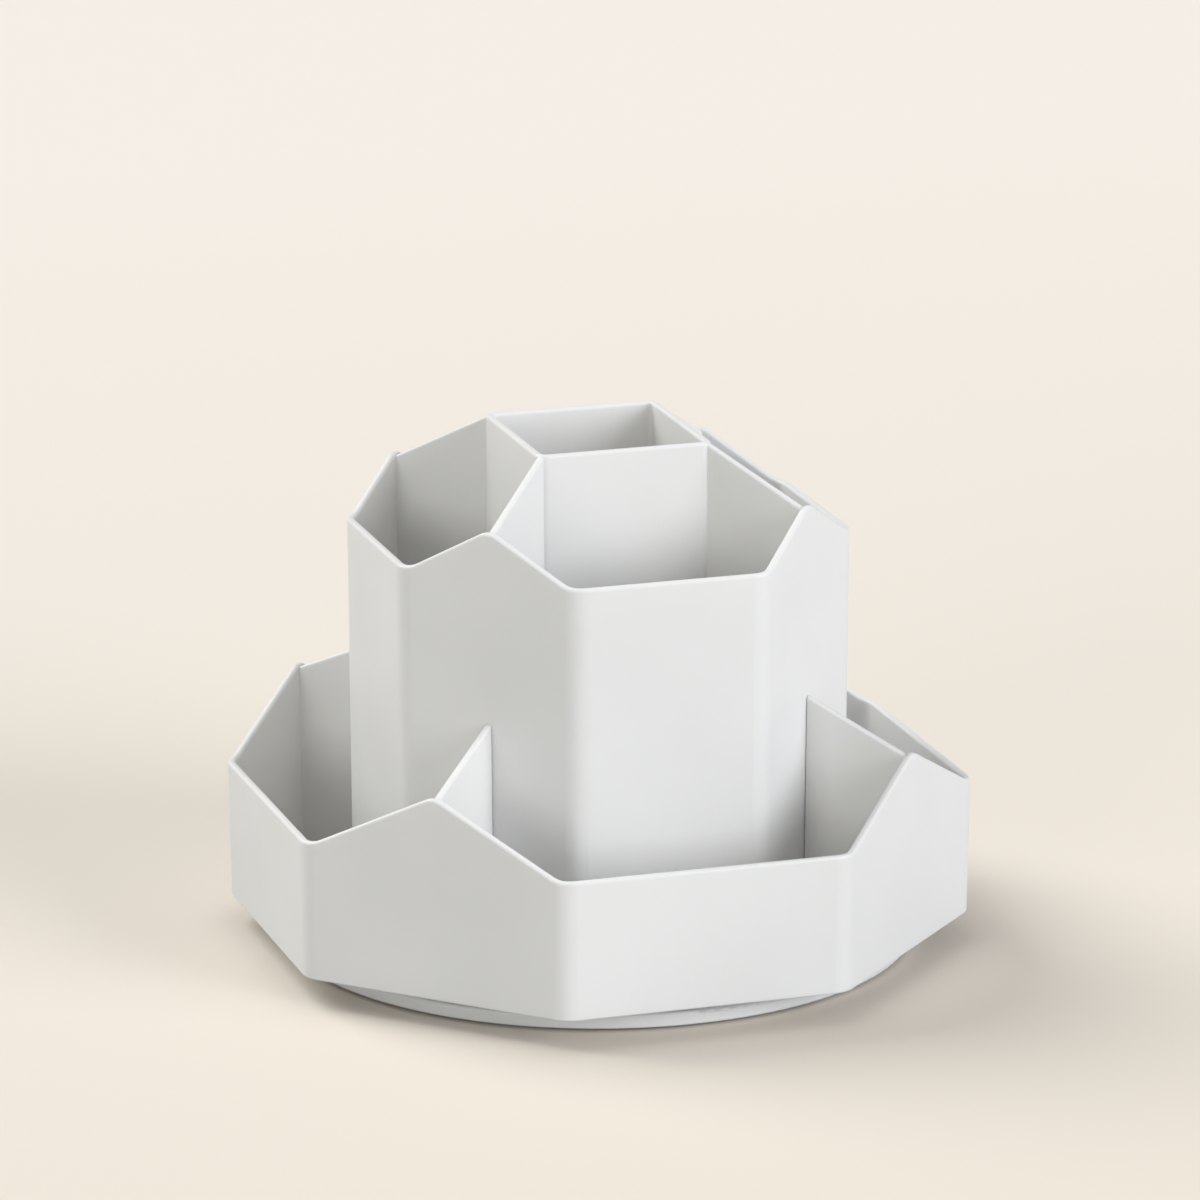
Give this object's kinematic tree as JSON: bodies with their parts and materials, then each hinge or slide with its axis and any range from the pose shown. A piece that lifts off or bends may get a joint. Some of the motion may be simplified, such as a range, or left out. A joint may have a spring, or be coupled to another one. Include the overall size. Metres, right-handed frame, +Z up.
{
  "type": "rotating desk organizer",
  "caption": "Rotating desk organizer: a peaked octagonal tray around a taller divided pen tower with a square centre cell, turning on a round base.",
  "frame": {"origin": "centre of the footprint at the table, on the axis that the organizer turns about", "axes": "+Z up along the turning axis; a low face of tray and tower looks along -Y, the front, and one along +X, the right"},
  "size_m": [0.173, 0.173, 0.1301],
  "materials": {
    "white_plastic": "satin, fine moulded surface",
    "bearing_plastic": "smooth, self-lubricating",
    "bearing_steel": "polished",
    "plated_steel": "zinc plated",
    "foot_rubber": "matt"
  },
  "bodies": {
    "base": {"base_plate": "white_plastic", "pivot_bush": "bearing_plastic", "rubber_foot_1": "foot_rubber", "rubber_foot_2": "foot_rubber", "rubber_foot_3": "foot_rubber", "rubber_foot_4": "foot_rubber", "rubber_foot_5": "foot_rubber", "rubber_foot_6": "foot_rubber"},
    "cage": {"ball_cage": "bearing_plastic", "bearing_balls": "bearing_steel"},
    "turntable": {"turntable_plate": "white_plastic", "pivot_washer": "plated_steel", "pivot_bolt": "plated_steel", "plate_screws": "plated_steel", "outer_tray": "white_plastic", "tower_screws": "plated_steel", "pen_tower": "white_plastic"}
  },
  "joints": [
    {"name": "turntable_spin", "type": "hinge", "parent": "base", "child": "turntable", "pos_m": [0, 0, 0.0052], "axis": [0, 0, 1], "continuous": true},
    {"name": "cage_spin", "type": "hinge", "parent": "base", "child": "cage", "pos_m": [0, 0, 0.0052], "axis": [0, 0, 1], "continuous": true}
  ],
  "couplings": [
    {"joint": "cage_spin", "follows": "turntable_spin", "ratio": 0.5}
  ]
}
